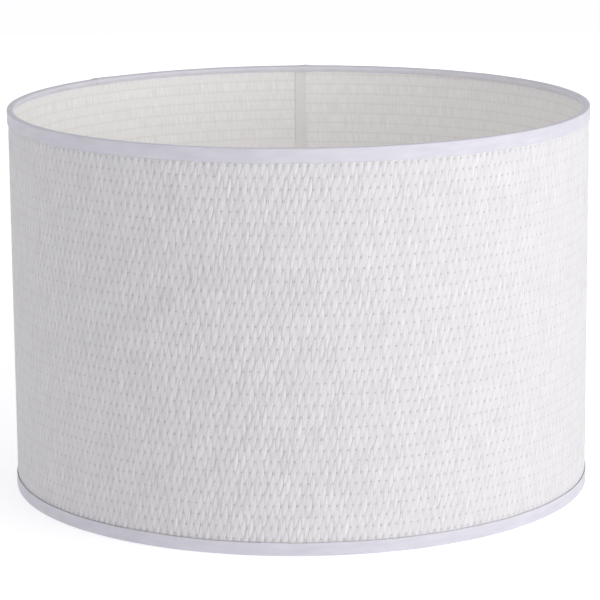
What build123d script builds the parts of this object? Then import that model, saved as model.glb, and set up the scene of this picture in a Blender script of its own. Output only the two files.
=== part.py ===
from build123d import *
import os
from math import cos, degrees, radians, sin, tan

# A drum lamp shade. A woven cover is laminated to a film liner and rolled into a drum that is
# joined by one lapped seam at the back. A wire ring stiffens each end, and a folded tape binds
# the laminate's edge and the ring together. Three wire arms in the bottom ring carry the fitter,
# which clamps on the lamp holder.
# Millimetres, +Z up. The origin is the centre of the base, and the seam is on the +Y side.

os.makedirs("parts", exist_ok=True)

# Overall sizes, over the bindings
shade_diameter = 400.0
shade_height = 264.0

# Sheet materials
cover_thickness = 0.9
liner_thickness = 0.4
tape_thickness = 0.4
seam_tape_thickness = 0.15
glue_line = 0.05

# Binding tape, measured from the end of the shade
top_band_width = 9.2
bottom_band_width = 8.7
inner_leg = 0.63
tuck_slope = 35.0

# Lapped seam at the back
seam_azimuth = 90.4
seam_flap_width = 7.0
seam_gap = 0.5
seam_step = 0.6
seam_tape_margin = 0.7
flap_end_clearance = 1.5

# Wire frame
ring_wire_diameter = 2.5
arm_wire_diameter = 2.5
arm_count = 3
first_arm_azimuth = 90.0
arm_lead_in = 14.0
arm_bend_radius = 9.0
arm_slit_clearance = 0.25
weld_flat = 0.25

# Fitter for an E27 lamp holder
fitter_bore_diameter = 42.0
fitter_rim_width = 7.0
fitter_thickness = 1.5
fitter_height = 22.0
fitter_edge_radius = 0.5
arm_end_setback = 1.5
arm_level_run = 12.0

# Radii of the layers, from the outside in
tape_face = shade_diameter / 2 - tape_thickness
cover_outer = tape_face - glue_line
cover_inner = cover_outer - cover_thickness
liner_outer = cover_inner - glue_line
liner_inner = liner_outer - liner_thickness
flap_outer = liner_inner - seam_tape_thickness - 2 * glue_line
flap_inner = flap_outer - liner_thickness

# The laminate stops inside the tape's fold, and the ring's wire lies in the corner it makes
laminate_inset = tape_thickness + glue_line
ring_wire_radius = ring_wire_diameter / 2
ring_radius = liner_inner - glue_line - ring_wire_radius
ring_inset = laminate_inset + ring_wire_radius
tape_leg = liner_inner - glue_line

# The inside of the tape's fold is small enough to clear the laminate's sharp edge
edge_fold_radius = 3 * glue_line

# Fitter and arms
arm_wire_radius = arm_wire_diameter / 2
fitter_bore_radius = fitter_bore_diameter / 2
fitter_outer_radius = fitter_bore_radius + fitter_rim_width
arm_end_radius = fitter_bore_radius + arm_end_setback
arm_knee_radius = fitter_outer_radius + arm_level_run
arm_level = fitter_height - arm_wire_radius + weld_flat
arm_azimuths = [first_arm_azimuth + i * 360 / arm_count for i in range(arm_count)]

# In both of these planes x is the radius, and y is the distance in from that end of the shade
bottom_end = Plane.XZ
top_end = Plane(origin=(0, 0, shade_height), x_dir=(1, 0, 0), z_dir=(0, 1, 0))


def radial_plane(azimuth):
    """The upright plane through the axis: x is the radius and y is the height."""
    turn = radians(azimuth)
    return Plane(origin=(0, 0, 0), x_dir=(cos(turn), sin(turn), 0), z_dir=(sin(turn), -cos(turn), 0))


def sector_face(inner, outer, start, size):
    """A face between two radii, from the azimuth start through size degrees."""
    with BuildLine() as outline:
        outer_arc = CenterArc((0, 0), outer, start, size)
        inner_arc = CenterArc((0, 0), inner, start, size)
        Line(outer_arc @ 0, inner_arc @ 0)
        Line(outer_arc @ 1, inner_arc @ 1)
    make_face(outline.edges())


def leaves_wire(lift):
    """Where the tape, lift away from what it is glued to, leaves the ring's wire."""
    wrap = ring_wire_radius + glue_line + lift
    slope = radians(tuck_slope)
    return Vector(ring_radius - wrap * sin(slope), ring_inset + wrap * cos(slope))


def meets_liner(lift):
    """Where that surface of the tape turns down the liner."""
    start = leaves_wire(lift)
    run = tape_leg - lift - start.X
    return start + Vector(run, run * tan(radians(tuck_slope)))


def tape_surface(lift, band_width):
    """One surface of a binding, lift away from what it is glued to: down the cover, over the
    edge, round the ring's wire and back against the liner. Returns its two ends."""
    fold_centre = (tape_face - edge_fold_radius, tape_thickness + edge_fold_radius)
    wrap = ring_wire_radius + glue_line + lift
    outer_leg = Line((tape_face + lift, band_width), (tape_face + lift, fold_centre[1]))
    CenterArc(fold_centre, edge_fold_radius + lift, 0, -90)
    Line((fold_centre[0], tape_thickness - lift), (ring_radius, tape_thickness - lift))
    CenterArc((ring_radius, ring_inset), wrap, -90, -180 + tuck_slope)
    Line(leaves_wire(lift), meets_liner(lift))
    inner_end = Line(meets_liner(lift), (tape_leg - lift, inner_reach))
    return outer_leg @ 0, inner_end @ 1


def binding_section(band_width):
    """The folded tape's section."""
    with BuildLine() as outline:
        glued = tape_surface(0, band_width)
        shown = tape_surface(tape_thickness, band_width)
        Line(glued[0], shown[0])
        Line(glued[1], shown[1])
    make_face(outline.edges())


def finish(block, label):
    """Label a finished piece and write its file."""
    block.part.label = label
    export_step(block.part, f"parts/{label}.step")


# How far in from the end the binding reaches on the inside
inner_reach = meets_liner(tape_thickness).Y + inner_leg

# Woven cover, rolled into a drum whose ends meet at the seam
laminate_height = shade_height - 2 * laminate_inset
cover_gap_angle = degrees(seam_gap / cover_outer)
with BuildPart() as fabric_cover:
    with BuildSketch(Plane.XY.offset(laminate_inset)):
        sector_face(cover_inner, cover_outer, seam_azimuth, 360 - cover_gap_angle)
    extrude(amount=laminate_height)
finish(fabric_cover, "fabric_cover")

# Film liner: at the seam it steps inwards into a flap that laps behind its other end. The flap
# is shorter than the drum, to clear the rings and the inner legs of the bindings.
flap_clearance = inner_reach + flap_end_clearance
flap_height = shade_height - 2 * flap_clearance
step_angle = degrees(seam_step / liner_inner)
flap_angle = degrees(seam_flap_width / liner_inner)
liner_gap_angle = degrees(seam_gap / liner_inner)
with BuildPart() as liner:
    with BuildSketch(Plane.XY.offset(laminate_inset)):
        sector_face(liner_inner, liner_outer, seam_azimuth, 360 - liner_gap_angle)
    extrude(amount=laminate_height)
    with BuildSketch(Plane.XY.offset(flap_clearance)):
        sector_face(flap_inner, liner_outer, seam_azimuth, step_angle)
        sector_face(flap_inner, flap_outer, seam_azimuth + step_angle, -step_angle - flap_angle)
    extrude(amount=flap_height)
finish(liner, "liner")

# Double-sided tape that holds the flap to the liner's other end
tape_start_angle = degrees((seam_gap + seam_tape_margin) / liner_inner)
tape_end_angle = flap_angle - degrees(seam_tape_margin / liner_inner)
with BuildPart() as seam_tape:
    with BuildSketch(Plane.XY.offset(flap_clearance + seam_tape_margin)):
        sector_face(
            flap_outer + glue_line,
            liner_inner - glue_line,
            seam_azimuth - tape_start_angle,
            tape_start_angle - tape_end_angle,
        )
    extrude(amount=flap_height - 2 * seam_tape_margin)
finish(seam_tape, "seam_tape")

# Wire rings
with BuildPart() as bottom_ring:
    with BuildSketch(bottom_end):
        with Locations((ring_radius, ring_inset)):
            Circle(ring_wire_radius)
    revolve(axis=Axis.Z)
finish(bottom_ring, "bottom_ring")

with BuildPart() as top_ring:
    with BuildSketch(top_end):
        with Locations((ring_radius, ring_inset)):
            Circle(ring_wire_radius)
    revolve(axis=Axis.Z)
finish(top_ring, "top_ring")

# Binding tapes. The bottom one is slit from its inner edge where each arm comes through.
with BuildPart() as top_binding:
    with BuildSketch(top_end):
        binding_section(top_band_width)
    revolve(axis=Axis.Z)
finish(top_binding, "top_binding")

slit_inner = ring_radius - ring_wire_diameter - 2 * tape_thickness
slit_top = inner_reach + tape_thickness
with BuildPart() as bottom_binding:
    with BuildSketch(bottom_end):
        binding_section(bottom_band_width)
    revolve(axis=Axis.Z)
    for azimuth in arm_azimuths:
        with BuildSketch(radial_plane(azimuth)):
            with BuildLine():
                Polyline(
                    (slit_inner, -tape_thickness),
                    (ring_radius, -tape_thickness),
                    (ring_radius, ring_inset),
                    (tape_leg, ring_inset),
                    (tape_leg, slit_top),
                    (slit_inner, slit_top),
                    close=True,
                )
            make_face()
        extrude(amount=arm_wire_radius + arm_slit_clearance, both=True, mode=Mode.SUBTRACT)
finish(bottom_binding, "bottom_binding")

# Fitter: a flat steel washer
with BuildPart() as fitter_ring:
    with BuildSketch(Plane.XY.offset(fitter_height)):
        Circle(fitter_outer_radius)
        Circle(fitter_bore_radius, mode=Mode.SUBTRACT)
    extrude(amount=fitter_thickness)
    rim_edges = fitter_ring.edges().filter_by(GeomType.CIRCLE).sort_by(SortBy.RADIUS)[-2:]
    fillet(rim_edges, radius=min(fitter_edge_radius, 0.45 * fitter_thickness))
finish(fitter_ring, "fitter_ring")

# Arms: each is saddled on the bottom ring, climbs to the fitter and is pressed flat under it
for index, azimuth in enumerate(arm_azimuths, start=1):
    with BuildPart() as spider_arm:
        with BuildLine(radial_plane(azimuth)) as centre_line:
            FilletPolyline(
                (ring_radius, ring_inset),
                (ring_radius - arm_lead_in, ring_inset),
                (arm_knee_radius, arm_level),
                (arm_end_radius, arm_level),
                radius=arm_bend_radius,
            )
        with BuildSketch(Plane(origin=centre_line.line @ 0, z_dir=centre_line.line % 0)):
            Circle(arm_wire_radius)
        sweep()
        with BuildSketch(bottom_end):
            with Locations((ring_radius, ring_inset)):
                Circle(ring_wire_radius)
        revolve(axis=Axis.Z, mode=Mode.SUBTRACT)
        with BuildSketch(Plane.XY.offset(fitter_height)):
            Circle(arm_knee_radius)
        extrude(amount=arm_wire_diameter, mode=Mode.SUBTRACT)
    finish(spider_arm, f"spider_arm_{index}")
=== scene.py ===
# %% [markdown]
# # A drum lamp shade in woven fabric
# The real shade is a sandwich. A cloth of flat yarn bundles is laminated to a stiff film, the
# laminate is rolled into a drum and lapped at the back, a wire ring is set in each end, and a
# folded tape binds the raw edges to the rings. A wire spider in the bottom ring holds the fitter.
#
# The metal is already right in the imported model, so it only gets a finish here. The cloth, the
# film and the tapes are made again as what they are: flat goods, made at their cut size and then
# rolled up, as in the workshop. That way their weave and their lengths stay true. What is hidden,
# such as the spider, the bottom ring and the outside of the seam, is assumed.

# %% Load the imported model
import math

import bpy
import numpy as np
from mathutils import Euler, Matrix, Vector


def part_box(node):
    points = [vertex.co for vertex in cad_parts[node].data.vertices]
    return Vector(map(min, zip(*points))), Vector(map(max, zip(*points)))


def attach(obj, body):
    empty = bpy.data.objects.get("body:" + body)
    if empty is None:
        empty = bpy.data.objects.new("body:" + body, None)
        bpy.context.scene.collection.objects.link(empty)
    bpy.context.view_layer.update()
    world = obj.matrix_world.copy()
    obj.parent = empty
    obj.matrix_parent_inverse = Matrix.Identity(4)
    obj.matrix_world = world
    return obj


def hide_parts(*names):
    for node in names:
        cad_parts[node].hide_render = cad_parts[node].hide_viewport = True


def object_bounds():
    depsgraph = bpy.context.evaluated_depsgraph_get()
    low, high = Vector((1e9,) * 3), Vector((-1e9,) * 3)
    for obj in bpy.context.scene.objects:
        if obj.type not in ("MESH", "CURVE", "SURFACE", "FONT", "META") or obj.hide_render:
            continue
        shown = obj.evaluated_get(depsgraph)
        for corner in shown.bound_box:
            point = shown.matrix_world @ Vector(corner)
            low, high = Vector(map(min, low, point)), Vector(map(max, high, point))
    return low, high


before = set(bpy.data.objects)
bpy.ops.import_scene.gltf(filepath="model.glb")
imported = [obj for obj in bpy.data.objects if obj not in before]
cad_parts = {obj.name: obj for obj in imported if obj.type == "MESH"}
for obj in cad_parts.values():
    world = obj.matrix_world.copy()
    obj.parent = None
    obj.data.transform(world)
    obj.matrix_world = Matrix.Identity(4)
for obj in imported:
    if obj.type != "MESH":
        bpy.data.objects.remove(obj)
cad_low, cad_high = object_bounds()
print("nodes:", sorted(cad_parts))
print("CAD box:", [round(x, 4) for x in cad_low], [round(x, 4) for x in cad_high])

# %% [markdown]
# ## Sizes read from the imported model
# The layers' radii and levels come from the imported nodes. The seam's azimuth and the sheets' own
# sizes repeat the part's. A round node's box says little about its wall, so its radii are measured
# from its own vertices, as callipers would.

# %% Measure the layers and the ends
MM = 0.001
BODY = "root"


def radii(node):
    """The smallest and largest distance of a node's vertices from the shade's axis."""
    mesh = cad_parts[node].data
    places = np.empty(3 * len(mesh.vertices))
    mesh.vertices.foreach_get("co", places)
    across = np.hypot(places[0::3], places[1::3])
    return across.min(), across.max()


base, rim = cad_low.z, cad_high.z
cloth_back, cloth_face = radii("fabric_cover")
flap_back, film_face = radii("liner")
binding_face = radii("top_binding")[1]
ring_inner, ring_outer = radii("bottom_ring")
panel_low, panel_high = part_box("fabric_cover")[0].z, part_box("fabric_cover")[1].z
panel_height = panel_high - panel_low
top_band_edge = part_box("top_binding")[0].z
bottom_band_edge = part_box("bottom_binding")[1].z
seam_azimuth = math.radians(90.4)
cloth_radius = (cloth_back + cloth_face) / 2
panel_length = 2 * math.pi * cloth_radius
print(f"cloth {cloth_back / MM:.2f} to {cloth_face / MM:.2f} mm, film {film_face / MM:.2f} mm")
print(f"cut panel {panel_length / MM:.0f} by {panel_height / MM:.0f} mm")

# %% [markdown]
# ## The camera
# A long lens looks slightly down from the front, so the far rim shows above the near one. It is
# set by its distance, its height, how far it tilts down, a slight roll and its focal length.

# %% Place the camera
CAMERA_DISTANCE = 1.978
CAMERA_HEIGHT = 0.5477
CAMERA_TILT = 12.06
CAMERA_ROLL = -0.46
CAMERA_LENS = 173.7

bpy.ops.object.camera_add(location=(0, -CAMERA_DISTANCE, base + CAMERA_HEIGHT))
camera = bpy.context.object
looks_down = Euler((math.radians(90 - CAMERA_TILT), 0, 0)).to_matrix()
camera.rotation_euler = (
    looks_down @ Matrix.Rotation(math.radians(CAMERA_ROLL), 3, "Z")
).to_euler()
camera.data.lens = CAMERA_LENS
camera.data.sensor_width = 36
camera.data.clip_end = 100
bpy.context.scene.camera = camera
print(f"camera {CAMERA_DISTANCE:.2f} m away, {CAMERA_TILT} degrees down, {CAMERA_LENS} mm")

# %% [markdown]
# ## The studio
# White on white is a lighting problem. Two broad lights stand low at the front right, and rake
# across so that each bundle of the weave throws a soft shade to its left. A weak third one stands
# behind. The floor is a lit white table: it stays white without any strong light from above, which
# would make the top of the rim the brightest line on the shade. The world fills the rest.

# %% Floor, world and lights
FLOOR_GLOW = 0.37
bpy.ops.mesh.primitive_plane_add(size=60, location=(0, 0, base))
floor = bpy.context.object
floor.name = "studio_floor"
floor_paint = bpy.data.materials.new("floor_paint")
floor_paint.use_nodes = True
floor_shader = floor_paint.node_tree.nodes["Principled BSDF"]
floor_shader.inputs["Base Color"].default_value = (0.93, 0.93, 0.935, 1)
floor_shader.inputs["Roughness"].default_value = 0.9
floor_shader.inputs["Specular IOR Level"].default_value = 0.1
floor_shader.inputs["Emission Color"].default_value = (1, 1, 1, 1)
floor_shader.inputs["Emission Strength"].default_value = FLOOR_GLOW
floor.data.materials.append(floor_paint)

WORLD_STRENGTH = 0.67
world = bpy.data.worlds.new("studio")
world.use_nodes = True
world.node_tree.nodes["Background"].inputs["Color"].default_value = (0.98, 0.98, 1.0, 1)
world.node_tree.nodes["Background"].inputs["Strength"].default_value = WORLD_STRENGTH
bpy.context.scene.world = world
bpy.context.scene.view_settings.view_transform = "Standard"


def soft_light(name, azimuth, distance, height, size, watts):
    """A square area light that faces the shade. Azimuth 0 is in front, 90 on the right."""
    turn = math.radians(azimuth)
    place = (distance * math.sin(turn), -distance * math.cos(turn), height)
    bpy.ops.object.light_add(type="AREA", location=place)
    light = bpy.context.object
    light.name = name
    light.data.size = size
    light.data.energy = watts
    aim = Vector((0, 0, (base + rim) / 2))
    light.rotation_euler = (aim - light.location).to_track_quat("-Z", "Y").to_euler()


soft_light("key_right", 60, 2.4, 0.45, 1.2, 16.8)
soft_light("key_front", 35, 2.4, 0.45, 1.2, 11)
soft_light("behind", 180, 2.4, 0.8, 1.5, 3.6)

# %% [markdown]
# ## Helpers for flat goods
# A grid is the natural start for cloth: its columns and rows become threads, folds and edges.
# These helpers read and write a mesh's points as one array, and roll a flat panel up. In the flat,
# x runs along the panel, y is the height and z is how far a point stands out of the film.


# %% Read, move and roll points
def fresh_start():
    """Nothing selected, so the next operator acts on the new piece alone."""
    bpy.ops.object.select_all(action="DESELECT")


def places_of(piece):
    places = np.empty(3 * len(piece.data.vertices))
    piece.data.vertices.foreach_get("co", places)
    return places.reshape(-1, 3)


def move_points(piece, places):
    piece.data.vertices.foreach_set("co", np.ascontiguousarray(places, dtype=float).ravel())
    piece.data.update()


def rolled(along, height, radius, start=seam_azimuth):
    """Points of a flat panel, rolled counter-clockwise from its start azimuth."""
    azimuth = start + along / cloth_radius
    return np.column_stack([radius * np.cos(azimuth), radius * np.sin(azimuth), height])


def set_map(piece, name, across, along):
    """A UV map from one pair of numbers for each vertex."""
    mesh = piece.data
    layer = mesh.uv_layers.get(name) or mesh.uv_layers.new(name=name)
    corner = np.empty(len(mesh.loops), dtype=np.int32)
    mesh.loops.foreach_get("vertex_index", corner)
    layer.data.foreach_set("uv", np.column_stack([across, along])[corner].ravel())


def apply_modifier(piece, kind, **settings):
    """Adds a modifier, sets it and applies it."""
    bpy.context.view_layer.objects.active = piece
    modifier = piece.modifiers.new(kind.lower(), kind)
    for key, value in settings.items():
        setattr(modifier, key, value)
    bpy.ops.object.modifier_apply(modifier=modifier.name)


def smooth(piece):
    fresh_start()
    piece.select_set(True)
    bpy.context.view_layer.objects.active = piece
    bpy.ops.object.shade_smooth()


def hand_over(piece, node, material):
    """The finished piece takes its material, rides on the body and stands for its CAD node."""
    piece.data.materials.clear()
    piece.data.materials.append(material)
    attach(piece, BODY)
    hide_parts(node)


# %% [markdown]
# ## Finishes
# All the finishes are off-whites, so what tells them apart is texture: the yarn is fibrous, the
# tape is finely ribbed and a little cool, the film is smooth and warm, and the metal has the
# slight orange peel of powder coat. Each one starts from the same small helper.


# %% A material with its plain values set on the shader
def finish(name, colour, roughness, **sockets):
    material = bpy.data.materials.new(name)
    material.use_nodes = True
    shader = material.node_tree.nodes["Principled BSDF"]
    shader.inputs["Base Color"].default_value = (*colour, 1)
    shader.inputs["Roughness"].default_value = roughness
    for socket, value in sockets.items():
        shader.inputs[socket.replace("_", " ")].default_value = value
    return material


class Nodes:
    """Adds nodes to a material and links them, one short call each."""

    def __init__(self, material):
        self.tree = material.node_tree
        self.shader = self.tree.nodes["Principled BSDF"]

    def add(self, kind, inputs=(), **settings):
        node = self.tree.nodes.new(kind)
        for key, value in settings.items():
            setattr(node, key, value)
        for socket, value in dict(inputs).items():
            if isinstance(value, bpy.types.NodeSocket):
                self.tree.links.new(value, node.inputs[socket])
            else:
                node.inputs[socket].default_value = value
        return node

    def noise(self, place, stretch, **settings):
        """Noise of scale 1 on a map that is first stretched."""
        stretched = self.add("ShaderNodeMapping", {"Vector": place, "Scale": stretch}).outputs[0]
        inputs = {"Vector": stretched, "Scale": 1.0, **settings}
        return self.add("ShaderNodeTexNoise", inputs).outputs[0]

    def grain(self, place, scale, detail):
        """Even noise at one scale."""
        inputs = {"Vector": place, "Scale": scale, "Detail": detail}
        return self.add("ShaderNodeTexNoise", inputs).outputs[0]

    def ramp(self, value, start, end, first=0.0, last=1.0, **settings):
        """Takes a value from start to end, to first to last."""
        inputs = {"Value": value, "From Min": start, "From Max": end, "To Min": first, "To Max": last}
        return self.add("ShaderNodeMapRange", inputs, **settings).outputs[0]

    def math(self, operation, a, b=0.0, c=0.0):
        return self.add("ShaderNodeMath", {0: a, 1: b, 2: c}, operation=operation).outputs[0]

    def mix(self, share, first, second):
        node = self.add("ShaderNodeMix", data_type="RGBA")
        self.tree.links.new(share, node.inputs["Factor"])
        for socket, colour in ((node.inputs[6], first), (node.inputs[7], second)):
            if isinstance(colour, bpy.types.NodeSocket):
                self.tree.links.new(colour, socket)
            else:
                socket.default_value = (*colour, 1)
        return node.outputs[2]

    def colour(self, socket):
        self.tree.links.new(socket, self.shader.inputs["Base Color"])

    def bump(self, height, strength, distance):
        node = self.add(
            "ShaderNodeBump", {"Height": height, "Strength": strength, "Distance": distance}
        )
        self.tree.links.new(node.outputs[0], self.shader.inputs["Normal"])


# %% [markdown]
# ### Yarn
# A bundle is a few loosely spun strands. Its map counts bundles across and millimetres along, so
# noise that is stretched along the bundle reads as fibres, and a slower noise makes some strands
# a shade whiter than others.


# %% Yarn and cross thread
def yarn_finish(name, light, dark, roughness):
    material = finish(
        name,
        light,
        roughness,
        Sheen_Weight=0.1,
        Specular_IOR_Level=0.25,
        Subsurface_Weight=0.3,
        Subsurface_Radius=(1, 1, 1),
        Subsurface_Scale=0.4 * MM,
    )
    nodes = Nodes(material)
    place = nodes.add("ShaderNodeUVMap", uv_map="yarn").outputs[0]
    fibres = nodes.noise(place, (10, 0.24, 1), Detail=3.0, Roughness=0.6)
    strands = nodes.noise(place, (3.7, 0.045, 1), Detail=1.0)
    shade = nodes.math("MULTIPLY_ADD", strands, 0.55, nodes.math("MULTIPLY", fibres, 0.45))
    nodes.colour(nodes.mix(nodes.ramp(shade, 0.35, 0.65), dark, light))
    nodes.bump(fibres, 0.8, 0.22 * MM)
    return material


yarn = yarn_finish("yarn_white", (0.785, 0.772, 0.79), (0.655, 0.642, 0.658), 0.75)
cross_thread = yarn_finish("cross_thread_beige", (0.65, 0.62, 0.585), (0.57, 0.535, 0.50), 0.8)

# %% [markdown]
# ## The weave
# The cloth is a plain weave of flat upright bundles and thin cross threads, spaced nearly three
# times as far apart. A thread ties down every other bundle: a tied bundle is pinched narrow and lies
# flat on the film, and its neighbours pass over the thread and fan out. On the next thread they
# swap, so each bundle is a chain of leaf shapes, two rows long. The whole cloth was laminated a
# little skewed, so the bundles lean to the right as they go up. Over the last quarter of the panel
# its rows sink, so at the seam they don't meet the rows they started from.
#
# A bump map would read as printed from close by, and it has no edge at the rim of the drum. So each
# bundle is a strip of mesh with its strands, and each cross thread a thin tube. A strip is made
# once, copied by an Array modifier on a plain lattice, and then every point is moved to its place
# by one formula, with a seeded drift so that no two leaves are alike.

# %% Weave sizes
BUNDLES = 490
ROWS = 34
STRANDS = 4
SECTORS = 7
LEAN = math.tan(math.radians(7.5))

top_row = top_band_edge - 2.25 * MM
bottom_row = bottom_band_edge + 1.96 * MM
row_pitch = (top_row - bottom_row) / (ROWS - 1)
bundle_pitch = panel_length / BUNDLES
tie_half = 0.5 * MM
tied_width, open_width = 1.4 * MM, 3.6 * MM
tied_lift, open_lift = 0.08 * MM, 0.26 * MM
bundle_crown = 0.16 * MM
strand_height = 0.30 * MM
leaf_slant = 0.24 * MM
thread_radius = 0.40 * MM
thread_over, thread_under = 0.34 * MM, -0.26 * MM
thread_shoulder = 1.15 * MM
thread_crest = 0.38 * tied_width
leaf_floor, thread_floor = 0.03 * MM, 0.02 * MM
leaf_flare, edge_fall = 0.85, 0.6
WAVES, WAVE_KNOTS = 50, 64
panel_middle = (panel_low + panel_high) / 2
DROP_START = 0.75
SEAM_DROP = 0.38 * row_pitch

spare = math.ceil(LEAN * panel_height / 2 / bundle_pitch)
strips = BUNDLES + 2 * spare
strips += (-strips) % (2 * SECTORS)
per_sector = strips // SECTORS
print(f"{BUNDLES} bundles {bundle_pitch / MM:.2f} mm apart, {ROWS} rows {row_pitch / MM:.2f} mm apart")

# %% Seeded drift: how each bundle, leaf and strand departs from the rule
chance = np.random.default_rng(41)
drift = chance.normal(0, 0.09 * MM, (strips + 2, ROWS + 3))
drift[:, 1:-1] = (drift[:, :-2] + 2 * drift[:, 1:-1] + drift[:, 2:]) / 3
leaf_width = chance.uniform(0.97, 1.08, (strips + 2, ROWS + 3))
leaf_height = chance.uniform(0.93, 1.07, (strips + 2, ROWS + 3))
strand_shift = chance.normal(0, 0.05, (strips + 2, ROWS + 3, 2 * STRANDS + 1))
strand_swell = chance.uniform(0.65, 1.3, (strips + 2, ROWS + 3, 2 * STRANDS + 1))
row_wave = chance.normal(0, 0.16 * MM, (ROWS + 1, WAVE_KNOTS))
yarn_offset = chance.uniform(0, 400, strips + 2)


def seam_drop(along):
    """How far the rows have sunk: nothing for most of the panel, then more towards its end."""
    share = np.clip((along / panel_length - DROP_START) / (1 - DROP_START), 0, 1)
    return SEAM_DROP * share**2 * (3 - 2 * share)


def row_height(row, along):
    """A cross thread's height: level, with a slow wander along the panel."""
    knot = (along / panel_length + 0.1) * WAVES
    low = np.clip(np.floor(knot).astype(int), 0, WAVE_KNOTS - 2)
    share = knot - low
    wave = row_wave[row, low] * (1 - share) + row_wave[row, low + 1] * share
    return bottom_row + row * row_pitch + wave - seam_drop(along)


def bundle_centre(bundle, height):
    """Where a bundle's middle runs at a height, on the flat panel."""
    rows_up = np.clip((height - bottom_row) / row_pitch + 1, 0, ROWS + 1.999)
    knot = np.floor(rows_up).astype(int)
    share = rows_up - knot
    wander = drift[bundle, knot] * (1 - share) + drift[bundle, knot + 1] * share
    straight = (bundle - (strips - BUNDLES) // 2 + 0.5) * bundle_pitch
    return straight + LEAN * (height - panel_middle) + wander


def leaf_phase(bundle, height):
    """Counts leaves up a bundle: a whole number at each tie, a half where it is widest."""
    return ((height - bottom_row) / row_pitch + bundle) / 2


# %% [markdown]
# ### One sector of bundles
# The lattice has a column for each crest and each valley between strands. Its levels crowd round
# the rows, where the shape turns quickest, and leave the long flanks of the leaves to few faces.

# %% Shape the bundles
levels = [panel_low]
for row in range(ROWS):
    for step in (-0.30, -0.068, 0.068, 0.30):
        levels.append(bottom_row + (row + step) * row_pitch)
levels = np.array([level for level in levels if level >= panel_low] + [panel_high])


def bundle_lattice(count):
    """Separate strips side by side, two units apart, on a plain lattice."""
    fresh_start()
    bpy.ops.mesh.primitive_grid_add(
        x_subdivisions=2 * STRANDS, y_subdivisions=len(levels) - 1, size=1
    )
    piece = bpy.context.object
    apply_modifier(
        piece,
        "ARRAY",
        count=count,
        use_relative_offset=False,
        use_constant_offset=True,
        constant_offset_displace=(2, 0, 0),
    )
    return piece


def shape_bundles(piece, first):
    """Moves each point of the lattice to its place in the flat cloth, and maps it."""
    lattice = places_of(piece)
    local = np.floor((lattice[:, 0] + 0.5 + 1e-4) / 2).astype(int)
    column = np.rint((lattice[:, 0] + 0.5 - 2 * local) * 2 * STRANDS).astype(int)
    level = np.rint((lattice[:, 1] + 0.5) * (len(levels) - 1)).astype(int)
    bundle = first + local
    height = levels[level]
    phase = leaf_phase(bundle, height)
    leaf = np.clip(np.floor(phase - bundle / 2).astype(int) + 1, 0, ROWS + 2)
    across = column / STRANDS - 1
    across = across + strand_shift[bundle, leaf, column] * (1 - across**2)
    from_tie = np.abs(phase - np.rint(phase)) * 2 * row_pitch
    spread = np.clip((from_tie - tie_half) / (row_pitch - tie_half), 0, 1)
    spread = np.sin(math.pi / 2 * spread) ** leaf_flare

    wide = open_width * leaf_width[bundle, leaf]
    half = (tied_width + (wide - tied_width) * spread) / 2
    slant = -leaf_slant * np.cos(math.pi * (phase - np.floor(phase))) * (spread > 0)
    along = bundle_centre(bundle, height) + slant * spread + half * across

    rise = tied_lift + (open_lift * leaf_height[bundle, leaf] - tied_lift) * spread
    crest = (column % 2) * strand_height * strand_swell[bundle, leaf, column]
    lift = rise * (1 - edge_fall * across**4) + bundle_crown * (1 - across**2) + crest
    between_ends = (level > 0) & (level < len(levels) - 1)
    sunk = height - seam_drop(along) * between_ends
    flat = np.column_stack([along, sunk, np.maximum(lift, leaf_floor)])
    move_points(piece, flat)

    set_map(piece, "yarn", bundle + (across + 1) / 2, height / MM + yarn_offset[bundle])
    tile = 0.96 * column / (2 * STRANDS) + 0.02
    set_map(piece, "OFBake", (local + tile) / (local.max() + 1), level / (len(levels) - 1))


def trim_panel(piece, at, keep_above):
    """Cuts the flat piece square at one end of the panel."""
    bpy.context.view_layer.objects.active = piece
    bpy.ops.object.mode_set(mode="EDIT")
    bpy.ops.mesh.select_all(action="SELECT")
    bpy.ops.mesh.bisect(
        plane_co=(at, 0, 0), plane_no=(1, 0, 0), clear_inner=keep_above, clear_outer=not keep_above
    )
    bpy.ops.object.mode_set(mode="OBJECT")


def roll_cloth(piece, sector):
    """Trims the panel's end sectors square, and rolls the piece on to the film."""
    if sector == 0:
        trim_panel(piece, 0, True)
    if sector == SECTORS - 1:
        trim_panel(piece, panel_length, False)
    flat = places_of(piece)
    move_points(piece, rolled(flat[:, 0], flat[:, 1], film_face + flat[:, 2]))


for sector in range(SECTORS):
    piece = bundle_lattice(per_sector)
    piece.name = f"woven_cover_{sector + 1}"
    piece.data.uv_layers.remove(piece.data.uv_layers[0])
    shape_bundles(piece, sector * per_sector)
    roll_cloth(piece, sector)
    smooth(piece)
    hand_over(piece, "fabric_cover", yarn)

# %% [markdown]
# ### The cross threads
# A thread rises over each tied bundle and dives under each open one. Four points for each pair of
# bundles say that: two over the tie, and two shoulders that are pressed down under the next bundle,
# so only a short bead of thread shows. The tube is a grid whose short side is wrapped round, copied
# up the panel by the same Array trick, one copy for each row.

# %% Shape the cross threads
THREAD_SIDES = 5


def thread_lattice(pairs):
    fresh_start()
    bpy.ops.mesh.primitive_grid_add(x_subdivisions=4 * pairs, y_subdivisions=THREAD_SIDES, size=1)
    piece = bpy.context.object
    apply_modifier(
        piece,
        "ARRAY",
        count=ROWS,
        use_relative_offset=False,
        use_constant_offset=True,
        constant_offset_displace=(0, 2, 0),
    )
    return piece


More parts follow.
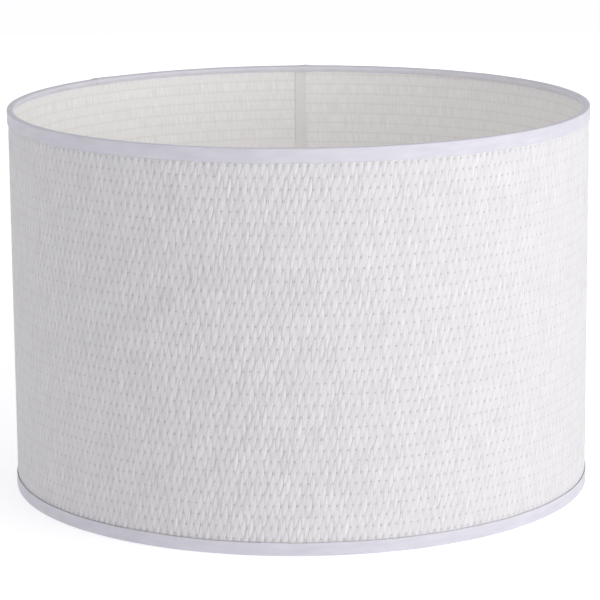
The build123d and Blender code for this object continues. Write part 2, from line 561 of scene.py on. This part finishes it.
def shape_threads(piece, first, pairs):
    """Wraps each row's strip into a tube, turning the way that leaves its faces outwards."""
    lattice = places_of(piece)
    row = np.floor((lattice[:, 1] + 0.5 + 1e-4) / 2).astype(int)
    side = np.rint((lattice[:, 1] + 0.5 - 2 * row) * THREAD_SIDES).astype(int)
    step = np.rint((lattice[:, 0] + 0.5) * 4 * pairs).astype(int)
    pair, part = step // 4, step % 4
    tied = np.minimum(first + 2 * pair + (first + row) % 2, strips + 1)
    nominal = bottom_row + row * row_pitch
    along = bundle_centre(tied, nominal)
    shoulders = [thread_shoulder, 2 * bundle_pitch - thread_shoulder]
    offsets = [-thread_crest, thread_crest, *shoulders]
    along = along + np.choose(part, offsets)
    centre_lift = np.where(part >= 2, thread_under, thread_over)
    turn = -2 * math.pi * side / THREAD_SIDES
    height = row_height(row, along) + thread_radius * np.cos(turn)
    lift = np.maximum(centre_lift + thread_radius * np.sin(turn), thread_floor)
    move_points(piece, np.column_stack([along, height, lift]))
    set_map(piece, "yarn", row + side / THREAD_SIDES, along / MM)
    tile = (row + 0.02 + 0.96 * side / THREAD_SIDES) / ROWS
    set_map(piece, "OFBake", step / (4 * pairs), tile)


for sector in range(SECTORS):
    piece = thread_lattice(per_sector // 2)
    piece.name = f"cross_threads_{sector + 1}"
    piece.data.uv_layers.remove(piece.data.uv_layers[0])
    shape_threads(piece, sector * per_sector, per_sector // 2)
    roll_cloth(piece, sector)
    smooth(piece)
    hand_over(piece, "fabric_cover", cross_thread)

# %% [markdown]
# ## The film liner
# Behind the cloth is a white film, stiff enough to hold the drum. From inside the shade it is all
# that shows: the bundles and threads behind it read as faint marks, so the marks are in its
# material and follow the same rows, pitch and lean as the weave. Its shape is a plain curved sheet
# with one lapped joint. The sheet is a grid. The lap is made by extruding its end edge inwards and
# then along, and stops just short of both bindings. Solidify gives the film its thickness.

# %% Film finish: the weave seen from behind
film = finish("film_warm_white", (0.88, 0.865, 0.855), 0.5, Specular_IOR_Level=0.35)
nodes = Nodes(film)
film_place = nodes.add("ShaderNodeUVMap", uv_map="weave").outputs[0]
split = nodes.add("ShaderNodeSeparateXYZ", {0: film_place})
pairs_along, rows_up = split.outputs[0], split.outputs[1]
wobble = nodes.noise(film_place, (0.9, 1.7, 1))
wandering = nodes.math("MULTIPLY_ADD", wobble, 0.10, nodes.math("SUBTRACT", rows_up, 0.05))
nearest = nodes.math("ROUND", wandering)
off_row = nodes.math("ABSOLUTE", nodes.math("SUBTRACT", wandering, nearest))
on_row = nodes.ramp(off_row, 0.03, 0.13, 1.0, 0.0, interpolation_type="SMOOTHSTEP")
stagger = nodes.math("MULTIPLY_ADD", nearest, 0.5, pairs_along)
dash = nodes.math("COSINE", nodes.math("MULTIPLY", stagger, 2 * math.pi))
dash = nodes.math("MULTIPLY_ADD", dash, 0.16, 0.62)
line = nodes.math("MULTIPLY", on_row, dash)
streaks = nodes.noise(film_place, (5.5, 0.6, 1), Detail=2.0, Roughness=0.55)
ground = nodes.mix(nodes.ramp(streaks, 0.32, 0.68), (0.82, 0.803, 0.79), (0.935, 0.92, 0.91))
lap_map = nodes.add("ShaderNodeUVMap", uv_map="lap").outputs[0]
on_lap_share = nodes.add("ShaderNodeSeparateXYZ", {0: lap_map}).outputs[0]
marked = nodes.mix(line, ground, (0.79, 0.767, 0.73))
nodes.colour(nodes.mix(on_lap_share, marked, (0.80, 0.785, 0.75)))
nodes.bump(streaks, 0.12, 0.05 * MM)

# %% Film sheet
FILM_THICKNESS = 0.4 * MM
SEAM_GAP = 0.5 * MM
LAP_WIDTH = 7 * MM
LAP_PAST_ADHESIVE = 2.05 * MM
FILM_COLUMNS = 320
film_middle = film_face - FILM_THICKNESS / 2
lap_step = film_middle - (flap_back + FILM_THICKNESS / 2)
adhesive_low, adhesive_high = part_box("seam_tape")
lap_low, lap_high = adhesive_low.z - LAP_PAST_ADHESIVE, adhesive_high.z + LAP_PAST_ADHESIVE

fresh_start()
bpy.ops.mesh.primitive_grid_add(x_subdivisions=FILM_COLUMNS, y_subdivisions=3, size=1)
liner = bpy.context.object
liner.name = "liner_film"
grid = places_of(liner)
film_levels = np.array([panel_low, lap_low, lap_high, panel_high])
grid[:, 1] = film_levels[np.rint((grid[:, 1] + 0.5) * 3).astype(int)]
grid[:, 0] = (grid[:, 0] + 0.5) * (panel_length - SEAM_GAP)
move_points(liner, grid)

bpy.ops.object.mode_set(mode="EDIT")
bpy.ops.mesh.select_mode(type="EDGE")
bpy.ops.mesh.select_all(action="DESELECT")
bpy.ops.object.mode_set(mode="OBJECT")
for edge in liner.data.edges:
    ends = [liner.data.vertices[v].co for v in edge.vertices]
    edge.select = all(abs(end.x) < 1e-6 and lap_low - 1e-6 < end.y < lap_high + 1e-6 for end in ends)
bpy.ops.object.mode_set(mode="EDIT")
for move in ((0.6 * MM, 0, -lap_step), (-0.6 * MM - LAP_WIDTH / 2, 0, 0), (-LAP_WIDTH / 2, 0, 0)):
    bpy.ops.mesh.extrude_region_move(TRANSFORM_OT_translate={"value": move})
bpy.ops.object.mode_set(mode="OBJECT")

flat = places_of(liner)
on_lap = flat[:, 2] < -lap_step / 2
lean_free = flat[:, 0] - LEAN * (flat[:, 1] - panel_middle)
set_map(
    liner,
    "weave",
    lean_free / (2 * bundle_pitch),
    np.where(on_lap, 0.5, (flat[:, 1] + seam_drop(flat[:, 0]) - bottom_row) / row_pitch),
)
set_map(liner, "lap", on_lap.astype(float), on_lap.astype(float))
move_points(liner, rolled(flat[:, 0], flat[:, 1], film_middle + flat[:, 2]))
apply_modifier(liner, "SOLIDIFY", thickness=FILM_THICKNESS, offset=0)
smooth(liner)
bpy.ops.object.shade_smooth_by_angle(angle=math.radians(35))
hand_over(liner, "liner", film)

# %% [markdown]
# A row of fine stitches runs down the lap's free edge. One stitch is a small rounded bead, stood
# upright at the lower end of the row, and an Array copies it up the seam at the stitch length.

# %% Stitches
STITCH_LENGTH = 1.9 * MM
STITCH_RADIUS = 0.36 * MM
stitch_azimuth = seam_azimuth - (LAP_WIDTH - 0.5 * MM) / film_middle
stitch_radius = flap_back - 0.05 * MM
fresh_start()
bpy.ops.mesh.primitive_uv_sphere_add(
    segments=8,
    ring_count=6,
    radius=STITCH_RADIUS,
    location=(
        stitch_radius * math.cos(stitch_azimuth),
        stitch_radius * math.sin(stitch_azimuth),
        lap_low + STITCH_LENGTH,
    ),
    scale=(1, 1, 1.7),
)
stitches = bpy.context.object
stitches.name = "seam_stitches"
bpy.ops.object.transform_apply(location=True, rotation=True, scale=True)
apply_modifier(
    stitches,
    "ARRAY",
    count=int((lap_high - lap_low) / STITCH_LENGTH) - 1,
    use_relative_offset=False,
    use_constant_offset=True,
    constant_offset_displace=(0, 0, STITCH_LENGTH),
)
smooth(stitches)
stitch_thread = finish("stitch_thread_white", (0.93, 0.925, 0.92), 0.6, Sheen_Weight=0.1)
nodes = Nodes(stitch_thread)
twist = nodes.grain(nodes.add("ShaderNodeTexCoord").outputs["Object"], 2500.0, 1.0)
nodes.colour(nodes.mix(twist, (0.93, 0.925, 0.92), (0.98, 0.975, 0.97)))
hand_over(stitches, "liner", stitch_thread)

# %% [markdown]
# ## The binding tapes
# A binding is one narrow tape, glued down the outside, folded over the edge and the wire and tucked
# back against the film. It is drawn as the path of its middle across the tape, and the tape is a long
# grid that is bent to that path and rolled round. Its end lies over its start with a slanted cut,
# and it rises a little over the lap's free edge. Past the fold, inside the shade, the tape's colour
# is painted paler: painted light that stands in for the brighter light inside the real shade.

# %% Tape finish
tape_cloth = finish("binding_tape", (0.59, 0.575, 0.63), 0.62, Sheen_Weight=0.1)
nodes = Nodes(tape_cloth)
tape_place = nodes.add("ShaderNodeUVMap", uv_map="tape").outputs[0]
ribs = nodes.noise(tape_place, (1.5, 1.2, 1), Detail=3.0, Roughness=0.6)
clouds = nodes.noise(tape_place, (0.05, 0.22, 1), Detail=2.0)
tone = nodes.math("MULTIPLY_ADD", ribs, 0.5, nodes.math("MULTIPLY", clouds, 0.5))
tone = nodes.ramp(tone, 0.35, 0.65)
across_tape = nodes.add("ShaderNodeSeparateXYZ", {0: tape_place}).outputs[1]
# Painted light: from 12.2 mm across, past the fold, the tape turns to a paler, lit copy of its colour
painted_light_share = nodes.ramp(across_tape, 12.2, 13.6)
over_cloth = nodes.mix(tone, (0.54, 0.527, 0.585), (0.63, 0.616, 0.675))
painted_lit_inner_tape = nodes.mix(tone, (0.71, 0.695, 0.755), (0.79, 0.775, 0.835))
nodes.colour(nodes.mix(painted_light_share, over_cloth, painted_lit_inner_tape))
nodes.bump(ribs, 0.5, 0.12 * MM)

# %% The tape's path round the edge and the wire
TAPE_THICKNESS = 0.4 * MM
GLUE = 0.05 * MM
TUCK_SLOPE = math.radians(35)
wire_radius = (ring_outer - ring_inner) / 2
wire_centre = (ring_inner + ring_outer) / 2
wire_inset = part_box("bottom_ring")[0].z + wire_radius - base
inner_leg_end = 5 * MM


def tape_path(band):
    """The middle of the tape from its outer edge to its inner one, as (radius, inset) points."""
    face = binding_face - TAPE_THICKNESS / 2
    corner = 0.35 * MM
    wrap = wire_radius + GLUE + TAPE_THICKNESS / 2
    path = [(face, band * share) for share in (1.0, 0.93, 0.7, 0.45, 0.2)]
    for step in range(4):
        turn = math.radians(30 * step)
        path.append(
            (
                face - corner + corner * math.cos(turn),
                TAPE_THICKNESS / 2 + corner - corner * math.sin(turn),
            )
        )
    path.append((0.5 * (face - corner + wire_centre), TAPE_THICKNESS / 2))
    for step in range(9):
        turn = math.radians(-90) - step / 8 * (math.pi - TUCK_SLOPE)
        path.append((wire_centre + wrap * math.cos(turn), wire_inset + wrap * math.sin(turn)))
    leg = film_face - FILM_THICKNESS - GLUE - TAPE_THICKNESS / 2
    run = leg - path[-1][0]
    path.append((leg, path[-1][1] + run * math.tan(TUCK_SLOPE)))
    path.append((leg, inner_leg_end))
    return np.array(path)


# %% One tape
TAPE_OVERLAP = 11 * MM
TAPE_COLUMNS = 400
END_SLANT = 5 * MM
SEAM_RISE, SEAM_RISE_WIDTH = 0.55 * MM, 3.2 * MM
SLIT_HALF = 1.5 * MM
lap_azimuth = seam_azimuth - LAP_WIDTH / film_middle
tape_chance = np.random.default_rng(12)


def slow_noise(along, across, strength, knots=150):
    """A gentle unevenness along the tape that differs between its outer and inner edge."""
    table = tape_chance.normal(0, strength, (2, knots + 2))
    place = np.clip((along / along.max()) * knots, 0, knots)
    low = np.floor(place).astype(int)
    share = place - low
    share = share * share * (3 - 2 * share)
    rows = table[:, low] * (1 - share) + table[:, low + 1] * share
    return rows[0] * (1 - across) + rows[1] * across


def binding(name, band, end_height, inwards, joint_azimuth, slits=()):
    """A tape bound round one end of the shade. inwards is +1 if the shade is above that end."""
    path = tape_path(band)
    steps = np.linalg.norm(np.diff(path, axis=0), axis=1)
    width = steps.sum()
    across_at = np.concatenate([[0], np.cumsum(steps)]) / width
    length = 2 * math.pi * cloth_radius + TAPE_OVERLAP
    fresh_start()
    bpy.ops.mesh.primitive_grid_add(
        x_subdivisions=TAPE_COLUMNS, y_subdivisions=len(path) - 1, size=1
    )
    tape = bpy.context.object
    tape.name = name
    lattice = places_of(tape)
    point = np.rint((lattice[:, 1] + 0.5) * (len(path) - 1)).astype(int)
    along = (lattice[:, 0] + 0.5) * length
    for azimuth in slits:
        middle = ((azimuth - joint_azimuth) % (2 * math.pi)) * cloth_radius
        gap = np.abs(along - middle)
        near = gap < 0.75 * length / TAPE_COLUMNS
        along[near] = middle + np.sign(along[near] - middle + 1e-9) * SLIT_HALF
    across = across_at[point]
    end_share = np.clip((along - length + 2 * TAPE_OVERLAP) / TAPE_OVERLAP, 0, 1)
    along = along + END_SLANT * (0.5 - across) * np.clip(end_share * 2 - 1, 0, 1)

    normals = np.gradient(path, axis=0)
    normals = np.column_stack([-normals[:, 1], normals[:, 0]])
    normals /= np.linalg.norm(normals, axis=1)[:, None]
    if normals[0, 0] < 0:
        normals = -normals
    from_seam = (joint_azimuth * cloth_radius + along - lap_azimuth * cloth_radius) % (
        2 * math.pi * cloth_radius
    )
    from_seam = np.minimum(from_seam, 2 * math.pi * cloth_radius - from_seam)
    lift = slow_noise(along, across, 0.05 * MM)
    lift = lift + SEAM_RISE * np.exp(-((from_seam / SEAM_RISE_WIDTH) ** 2))
    lift = lift + 1.1 * TAPE_THICKNESS * end_share
    radius = path[point, 0] + lift * normals[point, 0]
    inset = path[point, 1] + lift * normals[point, 1]
    inset = inset + (point == 0) * slow_noise(along, across, 0.10 * MM, 60)
    if inwards > 0:
        inset = np.maximum(inset, TAPE_THICKNESS / 2)
    height = end_height + inwards * inset
    set_map(tape, "tape", along / MM, across * width / MM)
    move_points(tape, rolled(along, height, radius, joint_azimuth))
    print(f"{name}: tape {width / MM:.1f} mm wide, {length / MM:.0f} mm long")
    return tape, width, length


def finish_tape(tape, node):
    bpy.context.view_layer.objects.active = tape
    bpy.ops.object.mode_set(mode="EDIT")
    bpy.ops.mesh.select_all(action="SELECT")
    bpy.ops.mesh.normals_make_consistent(inside=False)
    bpy.ops.object.mode_set(mode="OBJECT")
    apply_modifier(tape, "SOLIDIFY", thickness=TAPE_THICKNESS, offset=0)
    smooth(tape)
    bpy.ops.object.shade_smooth_by_angle(angle=math.radians(50))
    hand_over(tape, node, tape_cloth)


# %% Bind both ends
top_tape, tape_width, tape_length = binding(
    "top_tape", rim - top_band_edge, rim, -1, math.radians(136)
)
finish_tape(top_tape, "top_binding")

# %% [markdown]
# The bottom tape is slit from its inner edge where each arm of the spider comes through. The arms'
# azimuths come from the middle of each arm's own box.

# %% Slit and finish the bottom tape
arm_azimuths = []
for name in sorted(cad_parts):
    if name.startswith("spider_arm"):
        low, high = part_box(name)
        arm_azimuths.append(math.atan2((low.y + high.y) / 2, (low.x + high.x) / 2))
bottom_tape, tape_width, tape_length = binding(
    "bottom_tape", bottom_band_edge - base, base, 1, math.radians(112), arm_azimuths
)
bpy.context.view_layer.objects.active = bottom_tape
bpy.ops.object.mode_set(mode="EDIT")
bpy.ops.mesh.select_mode(type="FACE")
bpy.ops.mesh.select_all(action="DESELECT")
bpy.ops.object.mode_set(mode="OBJECT")
for face in bottom_tape.data.polygons:
    azimuth = math.atan2(face.center.y, face.center.x)
    radius = math.hypot(face.center.x, face.center.y)
    off = min(abs((azimuth - arm + math.pi) % (2 * math.pi) - math.pi) for arm in arm_azimuths)
    inside = radius < wire_centre or face.center.z - base > 1.5 * wire_inset
    in_slit = off * radius < SLIT_HALF - 0.1 * MM
    face.select = bool(in_slit and inside and radius < cloth_back)
bpy.ops.object.mode_set(mode="EDIT")
bpy.ops.mesh.delete(type="FACE")
bpy.ops.object.mode_set(mode="OBJECT")
finish_tape(bottom_tape, "bottom_binding")

# %% [markdown]
# ## The seam outside
# At the back the cloth's end is turned under and laid over its other end. The bundles that the
# skewed weave brings to the edge disappear into that fold, so the fold is one narrow rounded strip
# from band to band, a little uneven, as a pressed fold in thick cloth is.

# %% Turned edge
FOLD_COLUMNS = 8
FOLD_LEVELS = 120
FOLD_KNOTS = 30
fold_width, fold_height, fold_foot = 2.4 * MM, 0.82 * MM, 0.02 * MM
fold_roundness = 0.55
fresh_start()
bpy.ops.mesh.primitive_grid_add(x_subdivisions=FOLD_COLUMNS, y_subdivisions=FOLD_LEVELS, size=1)
seam_fold = bpy.context.object
seam_fold.name = "seam_fold"
lattice = places_of(seam_fold)
share = lattice[:, 0] + 0.5
height = panel_low + (lattice[:, 1] + 0.5) * panel_height
fold_wave = np.interp(
    height,
    np.linspace(panel_low, panel_high, FOLD_KNOTS),
    chance.normal(0, 0.12 * MM, FOLD_KNOTS),
)
along = (share - 0.5) * fold_width + fold_wave
lift = fold_foot + fold_height * np.sin(math.pi * share) ** fold_roundness
set_map(seam_fold, "yarn", share * 0.9, height / MM)
move_points(seam_fold, rolled(along, height, film_face + lift))
smooth(seam_fold)
hand_over(seam_fold, "fabric_cover", yarn)

# %% [markdown]
# Every sector of bundles and of threads, and the turned edge, stands in for the CAD model's one
# fabric cover.

# %% [markdown]
# ## Wire, fitter and adhesive
# The rings, the arms, the fitter and the adhesive keep their CAD meshes. Powder coat on wire is
# satin, with a faint orange peel. The double-sided tape under the lap is a pale, slightly glossy
# strip.

# %% Finishes for the CAD nodes
powder_coat = finish("powder_coat_white", (0.84, 0.84, 0.83), 0.38, Coat_Weight=0.15)
nodes = Nodes(powder_coat)
metal_place = nodes.add("ShaderNodeTexCoord").outputs["Object"]
dust = nodes.grain(metal_place, 60.0, 3.0)
nodes.colour(nodes.mix(dust, (0.80, 0.80, 0.79), (0.87, 0.87, 0.865)))
nodes.bump(nodes.grain(metal_place, 900.0, 2.0), 0.2, 0.05 * MM)

adhesive = finish("adhesive_pale", (0.80, 0.76, 0.66), 0.35)
nodes = Nodes(adhesive)
creep = nodes.grain(nodes.add("ShaderNodeTexCoord").outputs["Object"], 220.0, 3.0)
nodes.colour(nodes.mix(creep, (0.74, 0.69, 0.58), (0.86, 0.82, 0.73)))

METAL = ["top_ring", "bottom_ring", "fitter_ring"]
METAL += [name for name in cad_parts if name.startswith("spider_arm")]
for name, material in [(name, powder_coat) for name in METAL] + [("seam_tape", adhesive)]:
    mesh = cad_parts[name].data
    mesh.materials.clear()
    mesh.materials.append(material)
print("powder coat on", METAL)
